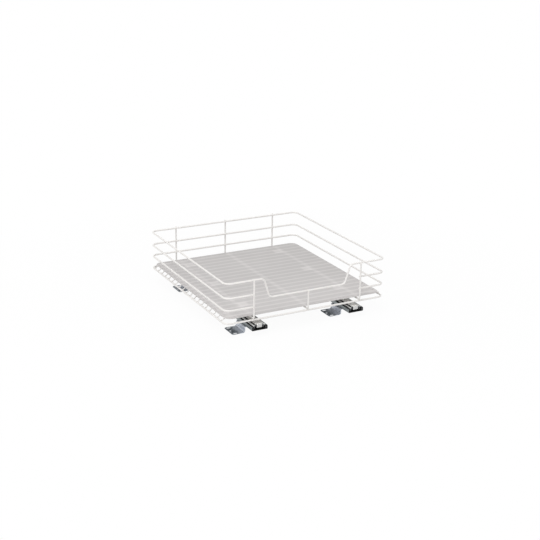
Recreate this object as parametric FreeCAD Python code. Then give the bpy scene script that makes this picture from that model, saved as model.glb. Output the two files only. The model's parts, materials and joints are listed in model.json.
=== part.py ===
import FreeCAD, Part
import math
import os

V = FreeCAD.Vector
ALONG_X = V(1, 0, 0)
ALONG_Y = V(0, 1, 0)
ALONG_Z = V(0, 0, 1)

# Pull-out wire basket on two flat-lying ball-bearing slides.
# Millimetres, +Z up, front towards -Y, origin at the middle of the base on the cabinet floor.

# Basket
basket_width = 521.2
basket_depth = 550.7
rail_wire = 5.2
frame_wire = 4.8
floor_wire = 3.2
weld_gap = 0.05
wire_end_rounding = 0.9
corner_radius = 18.0
lower_rail_rise = 38.5
middle_rail_rise = 74.6
top_rail_rise = 117.0
post_tip_rise = 1.2
front_tip_drop = 2.0
frame_wire_place = 173.0
frame_bend_radius = 6.0
rail_end_overrun = 1.0

# Dip in the front of the top rail
dip_depth = 57.6
dip_shoulder = 32.7
dip_slope_run = 17.7
dip_bend_radius = 15.0

# Floor wires
floor_wire_count = 19
floor_wire_inset = 25.6
floor_wire_landing = 3.2
floor_wire_end_gap = 0.2
joggle_bend_radius = 4.0

# Liner
liner_side_gap = 3.2
liner_end_gap = 2.6
liner_corner_radius = 22.0
liner_thickness = 1.2
liner_edge_rounding = 0.4
liner_seat_gap = 0.3

# Slides
slide_length = 508.0
slide_travel = 500.0
slide_lead = 5.0
slide_width = 49.0
slide_height = 14.7
slide_steel = 1.2
slide_bend_radius = 1.1
running_gap = 0.3
outer_lip = 1.8
outer_set_down = 3.0
middle_set_down = 0.6
neck_width = 23.0
neck_gap = 2.5
inner_rise = 2.5
ball_diameter = 3.97
race_clearance = 0.12
race_bite = 0.235
ball_pitch = 20.0
cage_steel = 0.6
cage_end_gap = 6.0
cage_end_land = 8.0
cage_flange_land = 0.8
cage_bend_radius = 0.9
middle_front_setback = 2.0
tab_setback = 3.0
tab_width = 16.6
tab_bend_radius = 1.6
tab_foot_gap = 3.2
bumper_length = 6.0
bumper_gap = 0.5
bumper_rounding = 1.5

# Floor brackets
bracket_height = 18.0
bracket_steel = 1.6
bracket_length = 56.0
foot_bend_radius = 6.0
flange_bend_radius = 3.0
bracket_web_gap = 2.0
bracket_spread_share = 0.74
foot_width = 37.8
foot_corner_radius = 6.0
flange_width = 44.0
flange_corner_radius = 4.0
hole_diameter = 6.5
hole_inset = 6.0
slot_length = 13.0
slot_width = 6.5
slot_inset = 11.0
slot_edge = 6.0

# Bracket rivets
rivet_diameter = 4.0
rivet_head_diameter = 7.0
rivet_head_height = 1.6
rivet_offset = 16.0
rivet_clearance = 0.05

# Basket clips and their screws
clip_height = 20.4
clip_width = 20.0
clip_side_gap = 3.0
clip_wing = 1.2
clip_top_gap = 0.3
clip_lip_gap = 0.6
clip_grip_clearance = 0.05
clip_rounding = 2.0
clip_front_share = 0.2
screw_diameter = 4.0
screw_clearance = 0.1
screw_head_diameter = 8.0
screw_head_height = 2.4
screw_head_room = 0.3
screw_tail = 2.8
screw_tip_chamfer = 0.6
screw_recess_length = 4.6
screw_recess_width = 0.9
screw_recess_depth = 1.3

# Every cutting tool runs this far past the face it opens
overrun = 2.0

# Radii
rail_r = rail_wire / 2
frame_r = frame_wire / 2
floor_r = floor_wire / 2
ball_r = ball_diameter / 2

# Heights of the slide, measured from the underside of its outer member
outer_top = slide_height - outer_set_down
outer_lip_under = outer_top - slide_steel
outer_cage_low = slide_steel + running_gap
middle_low = outer_cage_low + cage_steel + running_gap
middle_floor = middle_low + slide_steel
middle_top = slide_height - middle_set_down
middle_lip_under = middle_top - slide_steel
inner_cage_low = middle_floor + running_gap
inner_low = inner_cage_low + cage_steel + running_gap
inner_shoulder = middle_lip_under - running_gap
inner_top = slide_height + inner_rise
outer_ball_rise = (slide_steel + outer_lip_under) / 2
inner_ball_rise = (inner_low + inner_shoulder - slide_steel) / 2

# Widths of the slide, measured from its middle line
race_gap = ball_diameter - 2 * race_bite
outer_half = slide_width / 2
middle_half = outer_half - slide_steel - race_gap
inner_half = middle_half - slide_steel - race_gap
neck_half = neck_width / 2
middle_lip_half = neck_half + neck_gap
outer_race_half = middle_half + race_gap / 2
inner_race_half = inner_half + race_gap / 2

# Heights above the cabinet floor
slide_low = bracket_height
clip_low = slide_low + inner_top
floor_z = clip_low + clip_height
run_z = floor_z - floor_r - weld_gap - frame_r
rim_z = run_z - frame_r - weld_gap - rail_r
lower_rail_z = rim_z + lower_rail_rise
middle_rail_z = rim_z + middle_rail_rise
top_rail_z = rim_z + top_rail_rise
dip_z = top_rail_z - dip_depth
landing_z = rim_z + rail_r + weld_gap + floor_r
liner_low = floor_z + floor_r + liner_seat_gap

# Places in plan
rail_half_x = basket_width / 2 - rail_r
post_y = basket_depth / 2 - frame_r
rail_half_y = post_y - frame_r - weld_gap - rail_r
floor_wire_pitch = 2 * (rail_half_y - floor_wire_inset) / (floor_wire_count - 1)
slide_x = frame_wire_place - frame_r - clip_side_gap - clip_width / 2
slide_front = -basket_depth / 2 - slide_lead
slide_rear = slide_front + slide_length
slide_middle = (slide_front + slide_rear) / 2
member_rear = slide_rear - bumper_length - bumper_gap
middle_front = slide_front + middle_front_setback
inner_front = slide_front + tab_setback
cage_length = member_rear - inner_front - slide_travel / 2 - 2 * cage_end_gap
cage_middle = (member_rear + inner_front) / 2
bracket_spread = slide_length * bracket_spread_share
clip_half_y = floor_wire_pitch / 2 + floor_r + clip_wing
plan_shift = slide_lead / 2


def rounded_path(corners, closed=False):
    """Edges of straight runs joined by tangent arcs; each corner is a point and its bend radius."""
    points = [point for point, _ in corners]
    count = len(corners)
    first = (points[-1] + points[0]) * 0.5 if closed else points[0]
    turning = corners if closed else corners[1:-1]
    edges = []
    here = first
    for place, (corner, radius) in enumerate(turning, start=0 if closed else 1):
        back = points[place - 1] - corner
        ahead = points[(place + 1) % count] - corner
        back.normalize()
        ahead.normalize()
        half_turn = (math.pi - back.getAngle(ahead)) / 2
        reach = radius * math.tan(half_turn)
        inward = back + ahead
        inward.normalize()
        start = corner + back * reach
        end = corner + ahead * reach
        middle = corner + inward * (radius / math.cos(half_turn) - radius)
        if (start - here).Length > Part.Precision.confusion():
            edges.append(Part.LineSegment(here, start).toShape())
        edges.append(Part.Arc(start, middle, end).toShape())
        here = end
    last = first if closed else points[-1]
    if (last - here).Length > Part.Precision.confusion():
        edges.append(Part.LineSegment(here, last).toShape())
    return edges


def bent_wire(corners, diameter, closed=False):
    """Round wire bent along its corners; open ends are rounded over."""
    lengths = []
    for edge in rounded_path(corners, closed):
        start = edge.valueAt(edge.FirstParameter)
        heading = edge.tangentAt(edge.FirstParameter)
        section = Part.Face(Part.Wire(Part.makeCircle(diameter / 2, start, heading)))
        lengths.append(Part.Wire(edge).makePipe(section))
    wire = lengths[0].multiFuse(lengths[1:]).removeSplitter()
    wire = wire.Solids[0]
    if closed:
        return wire
    ends = [corners[0][0], corners[-1][0]]
    rims = []
    for edge in wire.Edges:
        round_edge = isinstance(edge.Curve, Part.Circle)
        if round_edge and any((edge.Curve.Center - end).Length < weld_gap for end in ends):
            rims.append(edge)
    return wire.makeFillet(wire_end_rounding, rims)


def moved_sideways(points, distance):
    """The same open outline, moved to its left by a distance."""
    normals = []
    for (u0, w0), (u1, w1) in zip(points, points[1:]):
        run = math.hypot(u1 - u0, w1 - w0)
        normals.append(((w0 - w1) / run, (u1 - u0) / run))
    moved = []
    for place, (u, w) in enumerate(points):
        before = normals[max(place - 1, 0)]
        after = normals[min(place, len(normals) - 1)]
        stretch = distance / (1 + before[0] * after[0] + before[1] * after[1])
        moved.append((u + stretch * (before[0] + after[0]), w + stretch * (before[1] + after[1])))
    return moved


def sheet_face(points, thickness, bends, place):
    """Section of bent sheet around its middle line; bends are radii, place turns (u, w) into a point."""
    turns = [0]
    for (u0, w0), (u1, w1), (u2, w2) in zip(points, points[1:], points[2:]):
        left = (u1 - u0) * (w2 - w1) - (w1 - w0) * (u2 - u1)
        turns.append(math.copysign(1, left))
    turns.append(0)
    outlines = []
    for side in (1, -1):
        moved = moved_sideways(points, side * thickness / 2)
        radii = [bend - side * turn * thickness / 2 for bend, turn in zip([0, *bends, 0], turns)]
        outlines.append([(place(u, w), radius) for (u, w), radius in zip(moved, radii)])
    left, right = outlines
    right.reverse()
    edges = rounded_path(left)
    edges.append(Part.LineSegment(left[-1][0], right[0][0]).toShape())
    edges += rounded_path(right)
    edges.append(Part.LineSegment(right[-1][0], left[0][0]).toShape())
    return Part.Face(Part.Wire(edges))


def mirrored(points):
    """An outline given from its left end to the middle line, completed to the right."""
    return points + [(-u, w) for u, w in reversed(points)]


def slide_section(points, steel, bend_radius, front, rear):
    """Sheet section in X and Z, drawn out along Y from front to rear."""
    outline = mirrored(points)
    bends = [bend_radius] * (len(outline) - 2)
    face = sheet_face(outline, steel, bends, lambda u, w: V(u, front, w))
    return face.extrude(ALONG_Y * (rear - front))


def drum(radius, length, base, heading=ALONG_Z):
    return Part.makeCylinder(radius, length, base, heading)


def block(low, high):
    size = high - low
    return Part.makeBox(size.x, size.y, size.z, low)


def race_cutters(race_half, rise):
    """Ball tracks along both walls of a slide."""
    radius = ball_r + race_clearance
    start = slide_front - overrun
    length = slide_length + 2 * overrun
    return [drum(radius, length, V(side * race_half, start, rise), ALONG_Y) for side in (-1, 1)]


def outer_member(rivet_rows):
    """Fixed channel with its lips turned in over the balls, and countersunk holes for its rivets."""
    wall = outer_half - slide_steel / 2
    lip_tip = outer_half - outer_lip
    lip = outer_top - slide_steel / 2
    points = [(-lip_tip, lip), (-wall, lip), (-wall, slide_steel / 2)]
    channel = slide_section(points, slide_steel, slide_bend_radius, slide_front, slide_rear)
    holes = [rivet(0, y, rivet_clearance) for y in rivet_rows]
    return channel.cut(race_cutters(outer_race_half, outer_ball_rise) + holes)


def middle_member():
    """Channel that rolls inside the outer member and carries the inner one under its lips."""
    wall = middle_half - slide_steel / 2
    lip = middle_top - slide_steel / 2
    points = [(-middle_lip_half, lip), (-wall, lip), (-wall, middle_low + slide_steel / 2)]
    channel = slide_section(points, slide_steel, slide_bend_radius, middle_front, member_rear)
    channel = channel.cut(race_cutters(outer_race_half, outer_ball_rise))
    return channel.cut(race_cutters(inner_race_half, inner_ball_rise))


def inner_member(clip_places):
    """Hat section whose raised neck carries the clips, with its front bent down to a tab."""
    wall = inner_half - slide_steel / 2
    shoulder = inner_shoulder - slide_steel / 2
    neck = neck_half - slide_steel / 2
    crown = inner_top - slide_steel / 2
    body_front = inner_front + slide_steel / 2 + tab_bend_radius
    points = [(-wall, inner_low), (-wall, shoulder), (-neck, shoulder), (-neck, crown)]
    rail = slide_section(points, slide_steel, slide_bend_radius, body_front, member_rear)
    tab_line = inner_front + slide_steel / 2
    tab_foot = middle_floor + tab_foot_gap
    bend = [(body_front, crown), (tab_line, crown), (tab_line, tab_foot)]
    section = sheet_face(bend, slide_steel, [tab_bend_radius], lambda u, w: V(-tab_width / 2, u, w))
    tab = section.extrude(ALONG_X * tab_width)
    rail = rail.fuse(tab).removeSplitter()
    rail = rail.cut(race_cutters(inner_race_half, inner_ball_rise))
    hole_r = screw_diameter / 2 + screw_clearance / 2
    depth = slide_steel + 2 * overrun
    low = inner_top - slide_steel - overrun
    return rail.cut([drum(hole_r, depth, V(0, y, low)) for y in clip_places])


def ball_places():
    """Places of the balls along one cage, about its middle."""
    gaps = math.floor((cage_length - 2 * cage_end_land) / ball_pitch)
    return [cage_middle + ball_pitch * (step - gaps / 2) for step in range(gaps + 1)]


def ball_cage(race_half, rise, low):
    """Thin channel with a round window for every ball."""
    web = low + cage_steel / 2
    top = rise + ball_r + cage_flange_land
    front = cage_middle - cage_length / 2
    points = [(-race_half, top), (-race_half, web)]
    cage = slide_section(points, cage_steel, cage_bend_radius, front, front + cage_length)
    reach = race_half + cage_steel + overrun
    radius = ball_r + race_clearance
    windows = [drum(radius, 2 * reach, V(-reach, y, rise), ALONG_X) for y in ball_places()]
    return cage.cut(windows)


def balls(race_half, rise):
    """Steel balls of one cage, in two rows."""
    rows = [(side * race_half, y) for side in (-1, 1) for y in ball_places()]
    return Part.makeCompound([Part.makeSphere(ball_r, V(x, y, rise)) for x, y in rows])


def upright_edges(shape):
    """Edges of a block that stand along Z."""
    found = []
    for edge in shape.Edges:
        box = edge.BoundBox
        if box.ZLength > box.XLength + box.YLength:
            found.append(edge)
    return found


def level_edges(shape, height):
    """Edges that lie flat at one height."""
    found = []
    for edge in shape.Edges:
        box = edge.BoundBox
        if box.ZLength < weld_gap and abs(box.ZMin - height) < weld_gap:
            found.append(edge)
    return found


def closing_bumper():
    """Rubber block at the rear of the outer member that the other members close against."""
    half = outer_half - slide_steel - running_gap
    low = V(-half, slide_rear - bumper_length, slide_steel)
    high = V(half, slide_rear, outer_lip_under - running_gap)
    rubber = block(low, high)
    return rubber.makeFillet(bumper_rounding, upright_edges(rubber))


def corner_edges(shape, x, steel_low):
    """Short upright edges of a plate at one x, starting at one height."""
    found = []
    for edge in shape.Edges:
        box = edge.BoundBox
        upright = abs(box.ZLength - bracket_steel) < weld_gap and box.XLength + box.YLength < weld_gap
        if upright and abs(box.XMin - x) < weld_gap and abs(box.ZMin - steel_low) < weld_gap:
            found.append(edge)
    return found


def slot(x, y, depth_low, depth):
    """Round-ended slot along X."""
    straight = slot_length - slot_width
    ends = [drum(slot_width / 2, depth, V(x + side * straight / 2, y, depth_low)) for side in (-1, 1)]
    middle = Part.makeBox(straight, slot_width, depth, V(x - straight / 2, y - slot_width / 2, depth_low))
    return middle.multiFuse(ends)


def rivet_places(middle_y):
    return [middle_y + side * rivet_offset for side in (-1, 1)]


def rivet(x, y, clearance):
    """Rivet shank through flange and slide, with a flush head; heights from the slide's underside."""
    shank_r = rivet_diameter / 2 + clearance
    head_r = rivet_head_diameter / 2 + clearance
    shank = drum(shank_r, bracket_steel + slide_steel, V(x, y, -bracket_steel))
    flush = Part.makeCone(shank_r, head_r, slide_steel, V(x, y, 0), ALONG_Z)
    return shank.fuse(flush)


def rivet_foot(x, y):
    """Flat round head formed under the flange."""
    low = slide_low - bracket_steel - rivet_head_height
    head = drum(rivet_head_diameter / 2, rivet_head_height, V(x, y, low))
    return head.makeFillet(rivet_head_height / 2, level_edges(head, low))


def floor_bracket(slide_place, middle_y):
    """Z-shaped bracket: foot to the left, web, and a flange under the slide."""
    slide_edge = slide_place - outer_half
    web = slide_edge - bracket_web_gap - bracket_steel / 2
    web_face = web - bracket_steel / 2
    foot_edge = web_face - foot_width
    flange_edge = web_face + flange_width
    front = middle_y - bracket_length / 2
    foot = bracket_steel / 2
    flange = bracket_height - bracket_steel / 2
    points = [(foot_edge, foot), (web, foot), (web, flange), (flange_edge, flange)]
    bends = [foot_bend_radius, flange_bend_radius]
    face = sheet_face(points, bracket_steel, bends, lambda u, w: V(u, front, w))
    bracket = face.extrude(ALONG_Y * bracket_length)
    bracket = bracket.makeFillet(foot_corner_radius, corner_edges(bracket, foot_edge, 0))
    flange_low = bracket_height - bracket_steel
    bracket = bracket.makeFillet(flange_corner_radius, corner_edges(bracket, flange_edge, flange_low))
    depth = bracket_steel + 2 * overrun
    slot_reach = bracket_length / 2 - slot_edge
    holes = [slot(foot_edge + slot_inset, middle_y + side * slot_reach, -overrun, depth) for side in (-1, 1)]
    holes.append(drum(hole_diameter / 2, depth, V(foot_edge + hole_inset, middle_y, -overrun)))
    for y in rivet_places(middle_y):
        holes.append(rivet(slide_place, y, rivet_clearance).translated(V(0, 0, slide_low)))
    return bracket.cut(holes)


def gap_near(y):
    """Middle of the gap between two floor wires that lies nearest to y."""
    last = floor_wire_count - 2
    number = round(y / floor_wire_pitch + last / 2)
    return (min(max(number, 0), last) - last / 2) * floor_wire_pitch


def clip_rows():
    """Places of the three clips of one slide, each between two floor wires."""
    front = gap_near(inner_front + (member_rear - inner_front) * clip_front_share)
    rear = gap_near(member_rear - clip_half_y - floor_wire_pitch / 2)
    return [front, gap_near((front + rear) / 2), rear]


def clip(x, y):
    """Moulded block on the inner member that snaps in between two floor wires."""
    left = x - clip_width / 2
    right = x + clip_width / 2
    shoulder = block(V(left, y - clip_half_y, clip_low), V(right, y + clip_half_y, floor_z))
    shoulder = shoulder.makeFillet(clip_rounding, upright_edges(shoulder))
    tongue_half = floor_wire_pitch / 2 - clip_lip_gap
    tongue_top = floor_z + floor_r - clip_top_gap
    tongue = block(V(left, y - tongue_half, clip_low), V(right, y + tongue_half, tongue_top))
    body = shoulder.fuse(tongue).removeSplitter()
    grip_r = floor_r + clip_grip_clearance
    grips = []
    for side in (-1, 1):
        start = V(left - overrun, y + side * floor_wire_pitch / 2, floor_z)
        grips.append(drum(grip_r, clip_width + 2 * overrun, start, ALONG_X))
    seat = tongue_top - screw_head_room - screw_head_height
    bore = drum(screw_diameter / 2 + screw_clearance, clip_height + 2 * overrun, V(x, y, clip_low - overrun))
    recess = drum(screw_head_diameter / 2 + screw_clearance, screw_head_height + overrun, V(x, y, seat))
    return body.cut(grips + [bore, recess])


def clip_screw(x, y):
    """Pan-head screw through a clip into the inner member, with a cross recess."""
    head_low = floor_z + floor_r - clip_top_gap - screw_head_room - screw_head_height
    tip = clip_low - slide_steel - screw_tail
    shank = drum(screw_diameter / 2, head_low - tip, V(x, y, tip))
    shank = shank.makeChamfer(screw_tip_chamfer, level_edges(shank, tip))
    head = drum(screw_head_diameter / 2, screw_head_height, V(x, y, head_low))
    top = head_low + screw_head_height
    head = head.makeFillet(screw_head_height / 2, level_edges(head, top))
    low = top - screw_recess_depth
    arm = V(screw_recess_length / 2, screw_recess_width / 2, 0)
    cross_arm = V(screw_recess_width / 2, screw_recess_length / 2, 0)
    centre = V(x, y, low)
    lift = V(0, 0, screw_recess_depth + overrun)
    arms = [block(centre - half, centre + half + lift) for half in (arm, cross_arm)]
    return shank.fuse(head).removeSplitter().cut(arms)


def bottom_rim():
    turns = [(-1, 1), (1, 1), (1, -1), (-1, -1)]
    corners = [(V(i * rail_half_x, j * rail_half_y, rim_z), corner_radius) for i, j in turns]
    return bent_wire(corners, rail_wire, closed=True)


def side_rail(height):
    """Rail round the sides and back, its ends welded behind the two outer front posts."""
    end_x = frame_wire_place - rail_end_overrun
    left = [(-end_x, -rail_half_y), (-rail_half_x, -rail_half_y), (-rail_half_x, rail_half_y)]
    corners = [(V(x, y, height), corner_radius) for x, y in mirrored(left)]
    return bent_wire(corners, rail_wire)


def top_rail():
    """Closed top rail whose front dips to give a view into the basket."""
    front = -rail_half_y
    dip_top = frame_wire_place - dip_shoulder
    dip_foot = dip_top - dip_slope_run
    corners = [
        (V(-rail_half_x, rail_half_y, top_rail_z), corner_radius),
        (V(rail_half_x, rail_half_y, top_rail_z), corner_radius),
        (V(rail_half_x, front, top_rail_z), corner_radius),
        (V(dip_top, front, top_rail_z), dip_bend_radius),
        (V(dip_foot, front, dip_z), dip_bend_radius),
        (V(-dip_foot, front, dip_z), dip_bend_radius),
        (V(-dip_top, front, top_rail_z), dip_bend_radius),
        (V(-rail_half_x, front, top_rail_z), corner_radius),
    ]
    return bent_wire(corners, rail_wire, closed=True)


def frame_u_wire(x, front_rail_z):
    """Front post, floor run and back post, bent from one wire; only the back post stands above its rail."""
    front_tip = front_rail_z + rail_r - front_tip_drop
    back_tip = top_rail_z + rail_r + post_tip_rise
    corners = [
        (V(x, -post_y, front_tip), 0),
        (V(x, -post_y, run_z), frame_bend_radius),
        (V(x, post_y, run_z), frame_bend_radius),
        (V(x, post_y, back_tip), 0),
    ]
    return bent_wire(corners, frame_wire)


def floor_cross_wire(y):
    """Wire across the floor, its ends stepped down onto the rim."""
    end = basket_width / 2 - floor_wire_end_gap
    step_low = rail_half_x - floor_wire_landing
    step_high = step_low - (floor_z - landing_z)
    left = [(-end, landing_z), (-step_low, landing_z), (-step_high, floor_z)]
    corners = [(V(x, y, z), joggle_bend_radius) for x, z in mirrored(left)]
    return bent_wire(corners, floor_wire)


def liner():
    """Loose flat sheet with rounded corners that lies on the floor wires."""
    half_x = rail_half_x - rail_r - liner_side_gap
    half_y = rail_half_y - rail_r - liner_end_gap
    turns = [(-1, 1), (1, 1), (1, -1), (-1, -1)]
    corners = [(V(i * half_x, j * half_y, liner_low), liner_corner_radius) for i, j in turns]
    outline = Part.Face(Part.Wire(rounded_path(corners, closed=True)))
    sheet = outline.extrude(ALONG_Z * liner_thickness)
    flat_edges = [edge for edge in sheet.Edges if edge.BoundBox.ZLength < weld_gap]
    return sheet.makeFillet(liner_edge_rounding, flat_edges)


def save(name, shape):
    """The basket is drawn about its own middle; the shift centres basket and slides together."""
    shape = shape.translated(V(0, plan_shift, 0))
    shape.exportStep("parts/" + name + ".step")
    state = "valid" if shape.isValid() else "INVALID"
    print(name, len(shape.Solids), "solids", round(shape.Volume, 1), "mm3", state)
    return shape


def main():
    os.makedirs("parts", exist_ok=True)
    pieces = []

    def keep(name, shape):
        pieces.append(save(name, shape))

    keep("bottom_rim", bottom_rim())
    keep("lower_rail", side_rail(lower_rail_z))
    keep("middle_rail", side_rail(middle_rail_z))
    keep("top_rail", top_rail())
    keep("left_frame_wire", frame_u_wire(-frame_wire_place, top_rail_z))
    keep("centre_frame_wire", frame_u_wire(0, dip_z))
    keep("right_frame_wire", frame_u_wire(frame_wire_place, top_rail_z))
    first_wire = -floor_wire_pitch * (floor_wire_count - 1) / 2
    for number in range(floor_wire_count):
        y = first_wire + number * floor_wire_pitch
        keep("floor_wire_%02d" % (number + 1), floor_cross_wire(y))
    keep("liner", liner())

    clip_places = clip_rows()
    bracket_places = [slide_middle - bracket_spread / 2, slide_middle + bracket_spread / 2]
    slide_rivets = [y for middle_y in bracket_places for y in rivet_places(middle_y)]
    slide_pieces = {
        "outer_member": outer_member(slide_rivets),
        "middle_member": middle_member(),
        "inner_member": inner_member(clip_places),
        "outer_ball_cage": ball_cage(outer_race_half, outer_ball_rise, outer_cage_low),
        "inner_ball_cage": ball_cage(inner_race_half, inner_ball_rise, inner_cage_low),
        "outer_balls": balls(outer_race_half, outer_ball_rise),
        "inner_balls": balls(inner_race_half, inner_ball_rise),
        "closing_bumper": closing_bumper(),
    }
    rivets = []
    screws = []
    for side, slide_place in (("left", -slide_x), ("right", slide_x)):
        for name, shape in slide_pieces.items():
            keep(side + "_" + name, shape.translated(V(slide_place, 0, slide_low)))
        for end, middle_y in zip(("front", "rear"), bracket_places):
            keep(side + "_" + end + "_bracket", floor_bracket(slide_place, middle_y))
            for y in rivet_places(middle_y):
                shank = rivet(slide_place, y, 0).translated(V(0, 0, slide_low))
                rivets.append(shank.fuse(rivet_foot(slide_place, y)).removeSplitter())
        for end, y in zip(("front", "middle", "rear"), clip_places):
            keep(side + "_" + end + "_clip", clip(slide_place, y))
            screws.append(clip_screw(slide_place, y))
    keep("bracket_rivets", Part.makeCompound(rivets))
    keep("clip_screws", Part.makeCompound(screws))

    box = Part.makeCompound(pieces).BoundBox
    print("overall", [round(v, 2) for v in (box.XMin, box.XMax, box.YMin, box.YMax, box.ZMin, box.ZMax)])
    print("slide middle line", round(slide_x, 2), "bracket spread", round(bracket_spread, 2))
    print("cage length", round(cage_length, 1), "balls in a row", len(ball_places()))
    print("clip places", [round(y + plan_shift, 2) for y in clip_places])
    print("bracket places", [round(y + plan_shift, 2) for y in bracket_places])
    print("rails", [round(z, 2) for z in (rim_z, lower_rail_z, middle_rail_z, top_rail_z, dip_z, liner_low)])


main()
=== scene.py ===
# %% [markdown]
# # A pull-out wire basket on two slides
# The object is a shallow basket of white coated wire with a frosted liner on its floor. It rolls out on
# two ball-bearing slides, and each slide stands on two bent steel brackets. The construction comes as a
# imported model, in metres, with every piece where it belongs. This lesson leaves those pieces where they
# are and gives them their finish: the coating, the frosting, the plating, and the small soft edges and
# welds that show in a close look.

# %% Load the construction
import json
import math

import bpy
from mathutils import Matrix, Vector

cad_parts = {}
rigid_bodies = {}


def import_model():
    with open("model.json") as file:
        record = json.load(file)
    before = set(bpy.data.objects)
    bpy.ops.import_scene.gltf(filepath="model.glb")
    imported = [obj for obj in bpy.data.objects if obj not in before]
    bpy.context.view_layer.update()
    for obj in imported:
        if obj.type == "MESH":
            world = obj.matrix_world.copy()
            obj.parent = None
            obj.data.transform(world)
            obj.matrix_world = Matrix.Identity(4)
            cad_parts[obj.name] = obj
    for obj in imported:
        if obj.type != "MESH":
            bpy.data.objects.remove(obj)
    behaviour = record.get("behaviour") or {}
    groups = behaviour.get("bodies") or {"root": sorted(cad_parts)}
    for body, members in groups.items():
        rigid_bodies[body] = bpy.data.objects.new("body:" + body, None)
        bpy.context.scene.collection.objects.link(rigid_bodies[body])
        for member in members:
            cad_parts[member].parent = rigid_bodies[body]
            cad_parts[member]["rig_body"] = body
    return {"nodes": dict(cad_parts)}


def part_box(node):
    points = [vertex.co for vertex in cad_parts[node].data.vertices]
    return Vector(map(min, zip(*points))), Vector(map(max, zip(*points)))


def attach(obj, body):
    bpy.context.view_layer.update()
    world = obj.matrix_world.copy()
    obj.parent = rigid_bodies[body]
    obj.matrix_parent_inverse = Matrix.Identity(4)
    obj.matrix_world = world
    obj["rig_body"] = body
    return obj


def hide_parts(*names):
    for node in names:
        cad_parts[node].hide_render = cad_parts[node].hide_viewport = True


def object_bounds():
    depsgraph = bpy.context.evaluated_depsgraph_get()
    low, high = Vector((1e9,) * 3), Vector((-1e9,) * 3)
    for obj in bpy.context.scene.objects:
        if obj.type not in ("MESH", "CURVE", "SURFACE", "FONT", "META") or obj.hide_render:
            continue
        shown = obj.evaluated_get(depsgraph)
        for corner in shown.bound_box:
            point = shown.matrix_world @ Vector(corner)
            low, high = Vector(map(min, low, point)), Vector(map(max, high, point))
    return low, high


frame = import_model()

cad_low, cad_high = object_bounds()
node_objects = frame["nodes"]
print("pieces loaded:", len(node_objects))
print("overall size in metres:", [round(size, 4) for size in cad_high - cad_low])

# %% [markdown]
# ## The camera
# The picture is taken from the front left, a little above the basket, through a long lens. A camera can
# be aimed with a constraint or by hand. Here it is turned by three plain angles: yaw about the upright,
# pitch below the level, and a slight roll. They are built into one matrix, so that nothing has to be
# solved later.

# %% Place the camera
camera_place = Vector((-1.42363, -2.69631, 1.15778))
camera_yaw = math.radians(28.164)
camera_pitch = math.radians(19.417)
camera_roll = math.radians(0.939)
camera_lens = 70.70

ahead = Vector((
    math.sin(camera_yaw) * math.cos(camera_pitch),
    math.cos(camera_yaw) * math.cos(camera_pitch),
    -math.sin(camera_pitch),
))
level_right = Vector((math.cos(camera_yaw), -math.sin(camera_yaw), 0))
level_up = level_right.cross(ahead)
right = math.cos(camera_roll) * level_right + math.sin(camera_roll) * level_up
up = math.cos(camera_roll) * level_up - math.sin(camera_roll) * level_right

camera_data = bpy.data.cameras.new("studio_camera")
camera_data.lens = camera_lens
camera = bpy.data.objects.new("studio_camera", camera_data)
bpy.context.scene.collection.objects.link(camera)
turn = Matrix((right, up, -ahead)).transposed()
camera.matrix_world = Matrix.Translation(camera_place) @ turn.to_4x4()
bpy.context.scene.camera = camera
bpy.context.scene.view_settings.view_transform = "Standard"
print("camera stands", round(camera_place.length, 2), "m from the origin")

# %% [markdown]
# ## A small kit for finishes
# Most finishes below are a few noise patterns in the metre space of the object, sent to colour, roughness
# and bump. Writing the nodes out each time would hide what differs, so five short helpers do the wiring:
# one starts a material, one makes an even or stretched noise, and three send a noise into a number, a
# colour or a bump.

# %% Helpers for finishes
noise_low = 0.3
noise_high = 0.7
fine_detail = 3


def new_finish(name):
    material = bpy.data.materials.new(name)
    material.use_nodes = True
    return material, material.node_tree, material.node_tree.nodes["Principled BSDF"]


def grain(tree, stretch, detail=2.0):
    """Noise on Object coordinates; stretch is how many grains lie on a metre along X, Y and Z."""
    place = tree.nodes.new("ShaderNodeTexCoord")
    mapping = tree.nodes.new("ShaderNodeMapping")
    noise = tree.nodes.new("ShaderNodeTexNoise")
    mapping.inputs["Scale"].default_value = stretch
    noise.inputs["Scale"].default_value = 1
    noise.inputs["Detail"].default_value = detail
    tree.links.new(place.outputs["Object"], mapping.inputs["Vector"])
    tree.links.new(mapping.outputs["Vector"], noise.inputs["Vector"])
    return noise.outputs["Fac"]


def spread(tree, pattern, low, high, into):
    """Sends a noise into a socket as numbers from low to high."""
    span = tree.nodes.new("ShaderNodeMapRange")
    span.inputs["From Min"].default_value = noise_low
    span.inputs["From Max"].default_value = noise_high
    span.inputs["To Min"].default_value = low
    span.inputs["To Max"].default_value = high
    tree.links.new(pattern, span.inputs["Value"])
    tree.links.new(span.outputs["Result"], into)


def tint(tree, pattern, dark, light, into):
    """Sends a noise into a colour socket, from the dark colour to the light one."""
    ramp = tree.nodes.new("ShaderNodeValToRGB")
    ramp.color_ramp.elements[0].position = noise_low
    ramp.color_ramp.elements[0].color = (*dark, 1)
    ramp.color_ramp.elements[1].position = noise_high
    ramp.color_ramp.elements[1].color = (*light, 1)
    tree.links.new(pattern, ramp.inputs["Fac"])
    tree.links.new(ramp.outputs["Color"], into)


def emboss(tree, pattern, depth, strength, surface):
    """Raises a noise as a bump of the given depth in metres."""
    bump = tree.nodes.new("ShaderNodeBump")
    bump.inputs["Distance"].default_value = depth
    bump.inputs["Strength"].default_value = strength
    tree.links.new(pattern, bump.inputs["Height"])
    tree.links.new(bump.outputs["Normal"], surface.inputs["Normal"])


finishes = {}
print("helpers ready")

# %% [markdown]
# ## White coated wire
# The wire has a warm white coat, as of baked powder paint. Up close such a coat is a little thicker and
# thinner from place to place, so the white drifts slowly, and its skin has a fine orange peel. A plain
# white would look like plastic, so slow noise drives the colour and fine noise the gloss and the bump.

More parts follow.
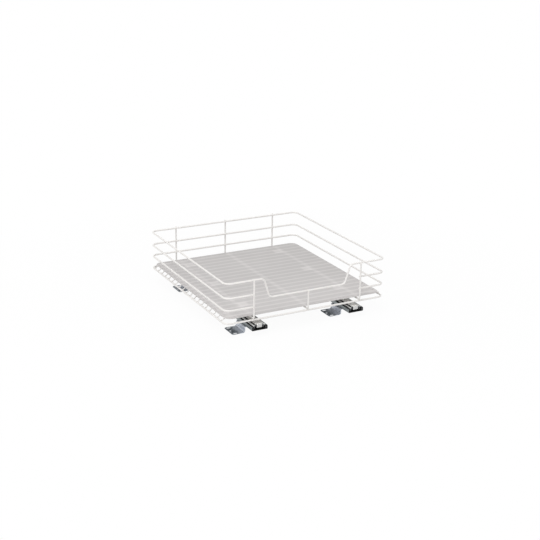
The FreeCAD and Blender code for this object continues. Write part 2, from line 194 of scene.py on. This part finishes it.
# %% Coated wire
coat_dark = (0.800, 0.779, 0.757)
coat_light = (0.832, 0.814, 0.795)
coat_gloss = (0.34, 0.48)
coat_drift = (45, 45, 45)
peel_grain = (700, 700, 700)
peel_depth = 0.0002
peel_strength = 0.12
coat_specular = 0.4


def coated_wire():
    material, tree, surface = new_finish("coated_wire")
    slow = grain(tree, coat_drift)
    fine = grain(tree, peel_grain, detail=fine_detail)
    tint(tree, slow, coat_dark, coat_light, surface.inputs["Base Color"])
    spread(tree, fine, *coat_gloss, surface.inputs["Roughness"])
    emboss(tree, fine, peel_depth, peel_strength, surface)
    surface.inputs["Specular IOR Level"].default_value = coat_specular
    return material


finishes["coated_wire"] = coated_wire()
print("made", finishes["coated_wire"].name)

# %% [markdown]
# ## Frosted liner
# The liner is a loose sheet of milky plastic. Where a wire touches it from below, light is thrown back
# up through the sheet, so the floor wires show as pale soft stripes, the frame wires as fainter bands
# and the white clips as spots. Tracing that light through the sheet would take very many bounces and
# leave grain, so it is painted light: soft bands at the measured places of the wires and clips brighten
# a grey colour. The left edge, a strip along the front and the right front corner are painted paler too,
# as painted light. A set share of the light from above passes the sheet as if it were clear, so that the
# steel below isn't left in full shadow.

# %% Soft bands at measured places
def calculate(tree, operation, first, second=0.0):
    """One Math node; first and second are numbers or sockets."""
    node = tree.nodes.new("ShaderNodeMath")
    node.operation = operation
    for place, value in enumerate((first, second)):
        if isinstance(value, (int, float)):
            node.inputs[place].default_value = value
        else:
            tree.links.new(value, node.inputs[place])
    return node.outputs["Value"]


def distance_to(tree, place, target):
    return calculate(tree, "ABSOLUTE", calculate(tree, "SUBTRACT", place, target))


def soft_band(tree, distance, core, fade):
    """1 where the distance is under the core, sinking smoothly to 0 over the fade."""
    span = tree.nodes.new("ShaderNodeMapRange")
    span.interpolation_type = "SMOOTHSTEP"
    span.inputs["From Min"].default_value = core
    span.inputs["From Max"].default_value = core + fade
    span.inputs["To Min"].default_value = 1
    span.inputs["To Max"].default_value = 0
    tree.links.new(distance, span.inputs["Value"])
    return span.outputs["Result"]


def middle_of(name):
    low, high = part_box(name)
    return (low + high) / 2


floor_wires = sorted(name for name in node_objects if name.startswith("floor_wire"))
first_wire_y = middle_of(floor_wires[0]).y
wire_pitch = (middle_of(floor_wires[-1]).y - first_wire_y) / (len(floor_wires) - 1)
frame_wire_x = middle_of("right_frame_wire").x
clip_rows = [middle_of(f"right_{row}_clip").y for row in ("front", "middle", "rear")]
clip_x = middle_of("right_middle_clip").x
liner_low, liner_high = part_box("liner")
print("floor wires lie", round(wire_pitch * 1000, 2), "mm apart")

# %% Frosted liner
frost_dark = (0.491, 0.474, 0.468)
frost_light = (0.690, 0.664, 0.656)
stripe_core, stripe_fade, stripe_glow = 0.0012, 0.0055, 0.42
band_core, band_fade, band_glow = 0.002, 0.010, 0.24
spot_core, spot_fade, spot_glow = 0.008, 0.012, 0.46
edge_core, edge_fade, edge_glow = 0.006, 0.042, 0.60
front_fade, front_glow = 0.260, 0.22
corner_fade, corner_glow = 0.080, 0.45
cloud_grain = (9, 9, 9)
cloud_glow = 0.30
pebble_grain = (1100, 1100, 1100)
pebble_depth = 0.0001
pebble_strength = 0.2
frost_gloss = (0.42, 0.58)
frost_scatter = 0.35
scatter_depth = 0.001
light_share = 0.45


def frosted_liner():
    material, tree, surface = new_finish("frosted_liner")
    place = tree.nodes.new("ShaderNodeTexCoord")
    split = tree.nodes.new("ShaderNodeSeparateXYZ")
    tree.links.new(place.outputs["Object"], split.inputs["Vector"])
    x, y = split.outputs["X"], split.outputs["Y"]
    side = calculate(tree, "ABSOLUTE", x)

    def brighten(glow, pattern, amount):
        return calculate(tree, "ADD", glow, calculate(tree, "MULTIPLY", pattern, amount))

    # Painted light: pale stripes over the floor wires, fainter bands over the frame wires and spots over
    # the clips.
    to_wire = calculate(tree, "PINGPONG", calculate(tree, "SUBTRACT", y, first_wire_y), wire_pitch / 2)
    glow = calculate(tree, "MULTIPLY", soft_band(tree, to_wire, stripe_core, stripe_fade), stripe_glow)
    for band_x in (0, frame_wire_x):
        band = soft_band(tree, distance_to(tree, side, band_x), band_core, band_fade)
        glow = brighten(glow, band, band_glow)
    across = soft_band(tree, distance_to(tree, side, clip_x), spot_core, spot_fade)
    for row_y in clip_rows:
        along = soft_band(tree, distance_to(tree, y, row_y), spot_core, spot_fade)
        glow = brighten(glow, calculate(tree, "MULTIPLY", along, across), spot_glow)
    # Painted light: the left edge, a strip along the front and the right front corner are painted paler.
    left_edge = soft_band(tree, distance_to(tree, x, liner_low.x), edge_core, edge_fade)
    glow = brighten(glow, left_edge, edge_glow)
    front = soft_band(tree, distance_to(tree, y, liner_low.y), edge_core, front_fade)
    glow = brighten(glow, front, front_glow)
    across = soft_band(tree, distance_to(tree, x, liner_high.x), edge_core, corner_fade)
    along = soft_band(tree, distance_to(tree, y, liner_low.y), edge_core, edge_fade)
    glow = brighten(glow, calculate(tree, "MULTIPLY", along, across), corner_glow)
    cloud = calculate(tree, "SUBTRACT", grain(tree, cloud_grain), (noise_low + noise_high) / 2)
    glow = brighten(glow, cloud, cloud_glow)
    ramp = tree.nodes.new("ShaderNodeValToRGB")
    ramp.color_ramp.elements[0].color = (*frost_dark, 1)
    ramp.color_ramp.elements[1].color = (*frost_light, 1)
    tree.links.new(glow, ramp.inputs["Fac"])
    tree.links.new(ramp.outputs["Color"], surface.inputs["Base Color"])
    pebble = grain(tree, pebble_grain)
    spread(tree, pebble, *frost_gloss, surface.inputs["Roughness"])
    emboss(tree, pebble, pebble_depth, pebble_strength, surface)
    surface.inputs["Subsurface Weight"].default_value = frost_scatter
    surface.inputs["Subsurface Radius"].default_value = (1, 1, 1)
    surface.inputs["Subsurface Scale"].default_value = scatter_depth
    path = tree.nodes.new("ShaderNodeLightPath")
    clear = tree.nodes.new("ShaderNodeBsdfTransparent")
    blend = tree.nodes.new("ShaderNodeMixShader")
    passed = calculate(tree, "MULTIPLY", path.outputs["Is Shadow Ray"], light_share)
    tree.links.new(passed, blend.inputs["Fac"])
    tree.links.new(surface.outputs["BSDF"], blend.inputs[1])
    tree.links.new(clear.outputs["BSDF"], blend.inputs[2])
    tree.links.new(blend.outputs["Shader"], tree.nodes["Material Output"].inputs["Surface"])
    return material


finishes["frosted_liner"] = frosted_liner()
print("made", finishes["frosted_liner"].name)

# %% [markdown]
# ## Rolled and plated steel
# The slides are rolled from strip, so their shine is drawn out along the slide. The brackets are pressed
# from sheet and plated blue-grey, with a duller and cloudier skin. All steels are one recipe with other
# numbers: a metal, or part metal, whose colour drifts, with even or drawn-out streaks of roughness. The
# slide members carry lit and shaded copies of one plated steel: the outer members are painted dark, as a
# painted reflection of the shaded floor beside them, the middle and inner members are painted brighter,
# as painted light against the shade under the basket, and the tab at the front is a darker copy. Most
# faces inside are painted very dark, as painted shade. The floors of the channels are painted darker
# towards the front opening, and the brackets towards the ends of their feet, both as painted shade.

# %% Plated steel
steel_drift = (30, 30, 30)
streak_depth = 0.00005
streak_strength = 0.15
along_y = (900, 12, 900)
along_x = (14, 700, 700)
even = (500, 500, 500)


def plated_steel(name, dark, light, gloss, streaks, metal=1.0):
    material, tree, surface = new_finish(name)
    cloud = grain(tree, steel_drift, detail=fine_detail)
    streak = grain(tree, streaks, detail=fine_detail)
    tint(tree, cloud, dark, light, surface.inputs["Base Color"])
    spread(tree, streak, *gloss, surface.inputs["Roughness"])
    emboss(tree, streak, streak_depth, streak_strength, surface)
    surface.inputs["Metallic"].default_value = metal
    finishes[name] = material


# Lit and shaded copies of one plated steel for the slide members: painted light and painted shade.
plated_steel("slide_steel", (0.225, 0.245, 0.250), (0.295, 0.317, 0.322), (0.20, 0.34), along_y)
plated_steel("middle_steel", (0.86, 0.87, 0.86), (0.94, 0.95, 0.94), (0.38, 0.52), along_y, metal=0.75)
plated_steel("neck_steel", (0.86, 0.855, 0.83), (0.94, 0.935, 0.91), (0.46, 0.60), along_y, metal=0.75)
plated_steel("tab_steel", (0.58, 0.58, 0.57), (0.66, 0.66, 0.65), (0.34, 0.48), even)
# Painted shade: a very dark copy for the faces inside the slides; a middle-tone copy for wall ends and
# the inner sides of the outer walls.
plated_steel("inner_shade_steel", (0.030, 0.031, 0.033), (0.060, 0.061, 0.063), (0.30, 0.46), along_y)
plated_steel("end_and_wall_steel", (0.36, 0.37, 0.385), (0.46, 0.47, 0.485), (0.42, 0.58), even)
plated_steel("bracket_steel", (0.62, 0.66, 0.73), (0.70, 0.74, 0.81), (0.30, 0.44), along_x, metal=0.55)
plated_steel("worn_edge", (0.50, 0.53, 0.57), (0.62, 0.64, 0.67), (0.24, 0.36), even)
plated_steel("channel_steel", (0.36, 0.37, 0.385), (0.46, 0.47, 0.485), (0.42, 0.58), along_y)
plated_steel("cage_steel", (0.30, 0.30, 0.30), (0.40, 0.40, 0.39), (0.30, 0.45), along_y)
plated_steel("ball_steel", (0.70, 0.70, 0.71), (0.78, 0.78, 0.79), (0.07, 0.14), even)
plated_steel("rivet_steel", (0.46, 0.47, 0.49), (0.58, 0.58, 0.59), (0.26, 0.40), even)
plated_steel("screw_steel", (0.55, 0.55, 0.53), (0.66, 0.65, 0.62), (0.22, 0.36), even)
print("made", [name for name in finishes if name.endswith(("steel", "edge"))])

# %% Darker channel fronts and foot ends
slide_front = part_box("left_outer_member")[0].y
# Painted shade: the channel floors are painted darker towards the front opening.
channel_front_shade = (0.025, 0.026, 0.028)
front_shade_core, front_shade_fade = 0.008, 0.030
foot_margin = 0.001
foot_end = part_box("left_front_bracket")[0].x - foot_margin
foot_step = middle_of("right_front_bracket").x - middle_of("left_front_bracket").x
# Painted shade: the bracket feet are painted darker towards their ends.
foot_end_shade = (0.215, 0.245, 0.275)
foot_shade_core, foot_shade_fade = 0.014, 0.016


def near_front(tree, x, y):
    return soft_band(tree, distance_to(tree, y, slide_front), front_shade_core, front_shade_fade)


def near_foot_end(tree, x, y):
    from_end = calculate(tree, "FLOORED_MODULO", calculate(tree, "SUBTRACT", x, foot_end), foot_step)
    return soft_band(tree, from_end, foot_shade_core, foot_shade_fade)


def darken(name, colour, nearness):
    """Blends a finish into a darker colour; nearness turns the X and Y of a point into a share of it."""
    tree = finishes[name].node_tree
    base = tree.nodes["Principled BSDF"].inputs["Base Color"]
    steel_colour = base.links[0].from_socket
    place = tree.nodes.new("ShaderNodeTexCoord")
    split = tree.nodes.new("ShaderNodeSeparateXYZ")
    tree.links.new(place.outputs["Object"], split.inputs["Vector"])
    blend = tree.nodes.new("ShaderNodeMixRGB")
    blend.inputs["Color2"].default_value = (*colour, 1)
    tree.links.new(nearness(tree, split.outputs["X"], split.outputs["Y"]), blend.inputs["Fac"])
    tree.links.new(steel_colour, blend.inputs["Color1"])
    tree.links.new(blend.outputs["Color"], base)


darken("channel_steel", channel_front_shade, near_front)
darken("bracket_steel", foot_end_shade, near_foot_end)
print("slides begin at", round(slide_front, 4), "m; feet are", round(foot_step, 4), "m apart")

# %% [markdown]
# ## Moulded white clips and black rubber
# The clips are moulded nylon, white and slightly see-through at thin edges. The bumpers at the rear of
# the slides are soft rubber, with a dusty, uneven black.

# %% Clip plastic and bumper rubber
nylon_dark = (0.80, 0.80, 0.775)
nylon_light = (0.86, 0.86, 0.84)
nylon_gloss = (0.40, 0.55)
nylon_drift = (60, 60, 60)
nylon_grain = (900, 900, 900)
nylon_scatter = 0.4
nylon_depth = 0.002
rubber_dark = (0.016, 0.016, 0.017)
rubber_light = (0.042, 0.042, 0.042)
rubber_gloss = (0.62, 0.82)
rubber_grain = (180, 180, 180)
dust_detail = 4
skin_depth = 0.0001
skin_strength = 0.2


def clip_plastic():
    material, tree, surface = new_finish("clip_plastic")
    fine = grain(tree, nylon_grain)
    tint(tree, grain(tree, nylon_drift), nylon_dark, nylon_light, surface.inputs["Base Color"])
    spread(tree, fine, *nylon_gloss, surface.inputs["Roughness"])
    emboss(tree, fine, skin_depth, skin_strength, surface)
    surface.inputs["Subsurface Weight"].default_value = nylon_scatter
    surface.inputs["Subsurface Radius"].default_value = (1, 1, 1)
    surface.inputs["Subsurface Scale"].default_value = nylon_depth
    return material


def bumper_rubber():
    material, tree, surface = new_finish("bumper_rubber")
    dust = grain(tree, rubber_grain, detail=dust_detail)
    tint(tree, dust, rubber_dark, rubber_light, surface.inputs["Base Color"])
    spread(tree, dust, *rubber_gloss, surface.inputs["Roughness"])
    emboss(tree, dust, skin_depth, skin_strength, surface)
    return material


finishes["clip_plastic"] = clip_plastic()
finishes["bumper_rubber"] = bumper_rubber()
print("made", finishes["clip_plastic"].name, "and", finishes["bumper_rubber"].name)

# %% [markdown]
# ## Dress the construction
# Each loaded piece carries the name of its finish on its material slot. Those plain slots now take the
# finishes made above, and the pieces themselves stay untouched.

# %% Assign the finishes
finish_of = {}
for name, piece in node_objects.items():
    finish_of[name] = piece.material_slots[0].material.name
for name, piece in node_objects.items():
    piece.material_slots[0].material = finishes[finish_of[name]]
print("dressed", len(node_objects), "pieces in", len(set(finish_of.values())), "finishes")

# %% [markdown]
# ## Soft edges on pressed and moulded pieces
# Construction solids have knife-sharp edges. Pressed steel has edges broken by tumbling, which catch the
# light as thin lines, and moulded clips have small radii. A bevel in the shader would fool the eye only
# in a render. So each such piece is copied, its loose triangles are merged and its flat faces cleared of
# cuts, and a Bevel modifier rounds every sharp edge.

# %% A copy with soft edges
merge_distance = 0.000005
flat_angle = math.radians(0.5)
sharp_angle = math.radians(40)
steel_edge = 0.00025
moulded_edge = 0.0006
edge_segments = 2


def soften(name, width, finish, edge_finish=None):
    """Makes a copy of a loaded piece with rounded edges that stands in for it."""
    source = node_objects[name]
    piece = bpy.data.objects.new(name + "_soft", source.data.copy())
    bpy.context.scene.collection.objects.link(piece)
    bpy.ops.object.select_all(action="DESELECT")
    bpy.context.view_layer.objects.active = piece
    piece.select_set(True)
    bpy.ops.object.mode_set(mode="EDIT")
    bpy.ops.mesh.select_all(action="SELECT")
    bpy.ops.mesh.remove_doubles(threshold=merge_distance)
    bpy.ops.mesh.dissolve_limited(angle_limit=flat_angle)
    bpy.ops.object.mode_set(mode="OBJECT")
    piece.data.materials[0] = finish
    bevel = piece.modifiers.new("soft_edges", "BEVEL")
    bevel.width = width
    bevel.segments = edge_segments
    bevel.limit_method = "ANGLE"
    bevel.angle_limit = sharp_angle
    if edge_finish:
        piece.data.materials.append(edge_finish)
        bevel.material = 1
    bpy.ops.object.modifier_apply(modifier=bevel.name)
    bpy.ops.object.shade_smooth_by_angle(angle=sharp_angle)
    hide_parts(name)
    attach(piece, source["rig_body"])
    return piece


brackets = [name for name in node_objects if name.endswith("_bracket")]
moulded = [name for name in node_objects if name.endswith(("_clip", "_bumper"))]
for name in brackets:
    soften(name, steel_edge, finishes["bracket_steel"], finishes["worn_edge"])
for name in moulded:
    soften(name, moulded_edge, finishes[finish_of[name]])
print("softened", len(brackets), "brackets and", len(moulded), "moulded pieces")

# %% [markdown]
# ## Outside and inside faces of the slides
# The slide members get the same soft edges. Then their faces are told apart by where they lie and which
# way they look: what lies on the outside, such as the top of a lip or the outer wall, keeps the member's
# own steel. The ends of the walls and the inner sides of the outer walls take a steel of middle tone, the
# floors of the channels have their own finish, the tab at the front has another, and everything else
# inside is painted very dark, as painted shade. These are lit and shaded copies of one plated steel.
# Sorting faces by place needs no painting by hand.

# %% Slide members
lean = 0.3
end_lean = 0.7
skin = 0.0006
wall_share = 0.12
member_finish = {"outer": "slide_steel", "middle": "middle_steel", "inner": "neck_steel"}
deeper_finishes = ("inner_shade_steel", "end_and_wall_steel", "channel_steel", "tab_steel")
outside_face, inner_shade, end_and_wall, channel, tab = range(5)


def is_outside_face(spot, facing, low, high, kind):
    """True for a face on the outside: all round on an outer member, on top only for the others."""
    top = facing.z > lean and spot.z > high.z - skin
    under = facing.z < -lean and spot.z < low.z + skin
    beside = min(spot.x - low.x, high.x - spot.x) < skin and abs(facing.x) > lean
    if kind == "outer":
        return top or under or beside
    return top


# Painted light and shade: each face takes a lighter or darker copy of the plated steel by where it lies
# and which way it looks.
def face_state(spot, facing, low, high, kind):
    if kind == "inner" and facing.y < -lean and spot.y < low.y + skin:
        return tab
    if is_outside_face(spot, facing, low, high, kind):
        return outside_face
    if kind != "inner" and facing.z > lean:
        return channel
    near_side = min(spot.x - low.x, high.x - spot.x) < wall_share * (high.x - low.x)
    wall_end = abs(facing.y) > end_lean and near_side
    inner_side = kind == "outer" and abs(facing.x) > lean
    if wall_end or inner_side:
        return end_and_wall
    return inner_shade


counts = [0] * (1 + len(deeper_finishes))
members = [name for name in node_objects if name.endswith("_member")]
for name in members:
    kind = name.split("_")[1]
    member = soften(name, steel_edge, finishes[member_finish[kind]])
    for finish in deeper_finishes:
        member.data.materials.append(finishes[finish])
    low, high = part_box(name)
    for face in member.data.polygons:
        face.material_index = face_state(face.center, face.normal, low, high, kind)
        counts[face.material_index] += 1
print("softened", len(members), "slide members; clean, greased, bare, channel and tab faces:", counts)

# %% [markdown]
# ## Welds
# Where two wires cross they are welded and the paint bridges the notch between them. One bead is
# modelled: a cube whose edges are rounded off and which is pressed flat. It is copied to each crossing,
# scaled to the thinner wire and laid into the plane of the two wires. Most of it hides inside the wires,
# and its corners fill the notches. The copies of one kind of crossing are joined, so that the basket
# carries four pieces of welds.

# %% One bead
bead_round = 0.62
bead_flat = 0.42
bead_segments = 2

bpy.ops.object.select_all(action="DESELECT")
bpy.ops.mesh.primitive_cube_add(size=2)
bead = bpy.context.object
bpy.ops.object.mode_set(mode="EDIT")
bpy.ops.mesh.select_all(action="SELECT")
bpy.ops.mesh.bevel(offset=bead_round, segments=bead_segments, affect="EDGES")
bpy.ops.transform.resize(value=(1, 1, bead_flat))
bpy.ops.object.mode_set(mode="OBJECT")
bead.data.materials.append(finishes["coated_wire"])
print("one bead has", len(bead.data.polygons), "faces")

# %% Lay the beads
upright = Matrix.Rotation(math.radians(90), 4, "X")
level = Matrix.Identity(4)
bead_reach = 0.80


def lay_beads(name, places, wire_radius, lie):
    """Copies the bead to every place and joins the copies to one piece of the basket."""
    copies = []
    size = Matrix.Scale(wire_radius * bead_reach, 4)
    for place in places:
        copy = bpy.data.objects.new(name, bead.data.copy())
        copy.data.transform(Matrix.Translation(place) @ lie @ size)
        bpy.context.scene.collection.objects.link(copy)
        copies.append(copy)
    bpy.ops.object.select_all(action="DESELECT")
    for copy in copies:
        copy.select_set(True)
    bpy.context.view_layer.objects.active = copies[0]
    bpy.ops.object.join()
    bpy.ops.object.shade_smooth()
    piece = bpy.context.object
    piece.name = name
    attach(piece, "basket")


rim_low, rim_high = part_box("bottom_rim")
run_low, run_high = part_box("centre_frame_wire")
post_low, post_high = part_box("right_frame_wire")
cross_low, cross_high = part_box(floor_wires[0])
top_low, top_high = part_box("top_rail")
rail_r = (rim_high.z - rim_low.z) / 2
frame_r = (run_high.x - run_low.x) / 2
floor_r = (cross_high.y - cross_low.y) / 2
rim_x = rim_high.x - rail_r
rim_front, rim_back = rim_low.y + rail_r, rim_high.y - rail_r
front_touch = (post_low.y + 2 * frame_r + rim_low.y) / 2
back_touch = (post_high.y - 2 * frame_r + rim_high.y) / 2
frame_wires_x = (-frame_wire_x, 0, frame_wire_x)
rail_heights = [middle_of("lower_rail").z, middle_of("middle_rail").z, top_high.z - rail_r]

post_places = [Vector((0, front_touch, top_low.z + rail_r))]
for height in rail_heights:
    post_places += [Vector((x, front_touch, height)) for x in (-frame_wire_x, frame_wire_x)]
    post_places += [Vector((x, back_touch, height)) for x in frame_wires_x]
run_touch = (rim_high.z + run_low.z) / 2
run_places = [Vector((x, y, run_touch)) for x in frame_wires_x for y in (rim_front, rim_back)]
cross_y = [middle_of(name).y for name in floor_wires]
cross_touch = (run_low.z + 2 * frame_r + cross_high.z - 2 * floor_r) / 2
cross_places = [Vector((x, y, cross_touch)) for x in frame_wires_x for y in cross_y]
end_touch = (rim_high.z + cross_low.z) / 2
end_places = [Vector((x, y, end_touch)) for x in (-rim_x, rim_x) for y in cross_y]

lay_beads("post_welds", post_places, frame_r, upright)
lay_beads("run_welds", run_places, frame_r, level)
lay_beads("cross_welds", cross_places, floor_r, level)
lay_beads("end_welds", end_places, floor_r, level)
bpy.data.objects.remove(bead)
print("welds:", [len(places) for places in (post_places, run_places, cross_places, end_places)])

# %% [markdown]
# ## Floor and light
# White wire on a pale floor shows best when the light is large and even. One big soft light hangs over
# the front left and a weaker one fills from the front. Close to the object the floor keeps a small share
# of its own shading, so that a trace of the shadow stays, and further out it is plain white. Metal
# mirrors the same white.

# %% Floor
floor_half = 30.0
shade_reach = 0.45
white_reach = 1.10
white_share_near = 0.95
floor_dark = (0.86, 0.86, 0.86)
floor_light = (0.88, 0.88, 0.88)
floor_drift = (6, 6, 6)
floor_dull = 0.9
floor_specular = 0.1


def background_rays(tree):
    """1 for rays that come straight from the camera, off a shiny surface or through a clear one."""
    path = tree.nodes.new("ShaderNodeLightPath")
    straight = calculate(tree, "MAXIMUM", path.outputs["Is Camera Ray"], path.outputs["Is Glossy Ray"])
    return calculate(tree, "MAXIMUM", straight, path.outputs["Is Transmission Ray"])


def studio_floor():
    material, tree, surface = new_finish("studio_floor")
    nodes, links = tree.nodes, tree.links
    surface.inputs["Roughness"].default_value = floor_dull
    surface.inputs["Specular IOR Level"].default_value = floor_specular
    tint(tree, grain(tree, floor_drift), floor_dark, floor_light, surface.inputs["Base Color"])
    place = nodes.new("ShaderNodeTexCoord")
    radius = nodes.new("ShaderNodeVectorMath")
    radius.operation = "LENGTH"
    links.new(place.outputs["Object"], radius.inputs[0])
    fade = nodes.new("ShaderNodeMapRange")
    fade.inputs["From Min"].default_value = shade_reach
    fade.inputs["From Max"].default_value = white_reach
    fade.inputs["To Min"].default_value = white_share_near
    fade.inputs["To Max"].default_value = 1
    links.new(radius.outputs["Value"], fade.inputs["Value"])
    white = nodes.new("ShaderNodeEmission")
    blend = nodes.new("ShaderNodeMixShader")
    share = calculate(tree, "MULTIPLY", fade.outputs["Result"], background_rays(tree))
    links.new(share, blend.inputs["Fac"])
    links.new(surface.outputs["BSDF"], blend.inputs[1])
    links.new(white.outputs["Emission"], blend.inputs[2])
    clear = nodes.new("ShaderNodeBsdfTransparent")
    facing = nodes.new("ShaderNodeNewGeometry")
    one_sided = nodes.new("ShaderNodeMixShader")
    links.new(facing.outputs["Backfacing"], one_sided.inputs["Fac"])
    links.new(blend.outputs["Shader"], one_sided.inputs[1])
    links.new(clear.outputs["BSDF"], one_sided.inputs[2])
    links.new(one_sided.outputs["Shader"], nodes["Material Output"].inputs["Surface"])
    return material


bpy.ops.object.select_all(action="DESELECT")
bpy.ops.mesh.primitive_plane_add(size=2 * floor_half)
floor = bpy.context.object
floor.name = "studio_floor"
floor.data.materials.append(studio_floor())
print("floor is", 2 * floor_half, "m wide")

# %% Light
ambient_level = 0.6
key_place, key_size, key_power = (-1.2, -0.8, 3.0), 2.4, 56
front_place, front_size, front_power = (-1.2, -3.0, 1.2), 2.0, 12


def studio_world():
    world = bpy.data.worlds.new("studio_world")
    bpy.context.scene.world = world
    world.use_nodes = True
    nodes, links = world.node_tree.nodes, world.node_tree.links
    ambient = nodes["Background"]
    ambient.inputs["Strength"].default_value = ambient_level
    ambient.inputs["Color"].default_value = (1, 1, 1, 1)
    backdrop = nodes.new("ShaderNodeBackground")
    backdrop.inputs["Color"].default_value = (1, 1, 1, 1)
    blend = nodes.new("ShaderNodeMixShader")
    links.new(background_rays(world.node_tree), blend.inputs["Fac"])
    links.new(ambient.outputs["Background"], blend.inputs[1])
    links.new(backdrop.outputs["Background"], blend.inputs[2])
    links.new(blend.outputs["Shader"], nodes["World Output"].inputs["Surface"])


def soft_light(name, place, size, power):
    """A square soft light that looks at the middle of the basket."""
    lamp = bpy.data.lights.new(name, "AREA")
    lamp.shape = "SQUARE"
    lamp.size = size
    lamp.energy = power
    holder = bpy.data.objects.new(name, lamp)
    bpy.context.scene.collection.objects.link(holder)
    aim = (cad_low + cad_high) / 2 - Vector(place)
    holder.matrix_world = Matrix.Translation(place) @ aim.to_track_quat("-Z", "Y").to_matrix().to_4x4()


studio_world()
soft_light("key_light", key_place, key_size, key_power)
soft_light("front_light", front_place, front_size, front_power)
print("ambient level", ambient_level)
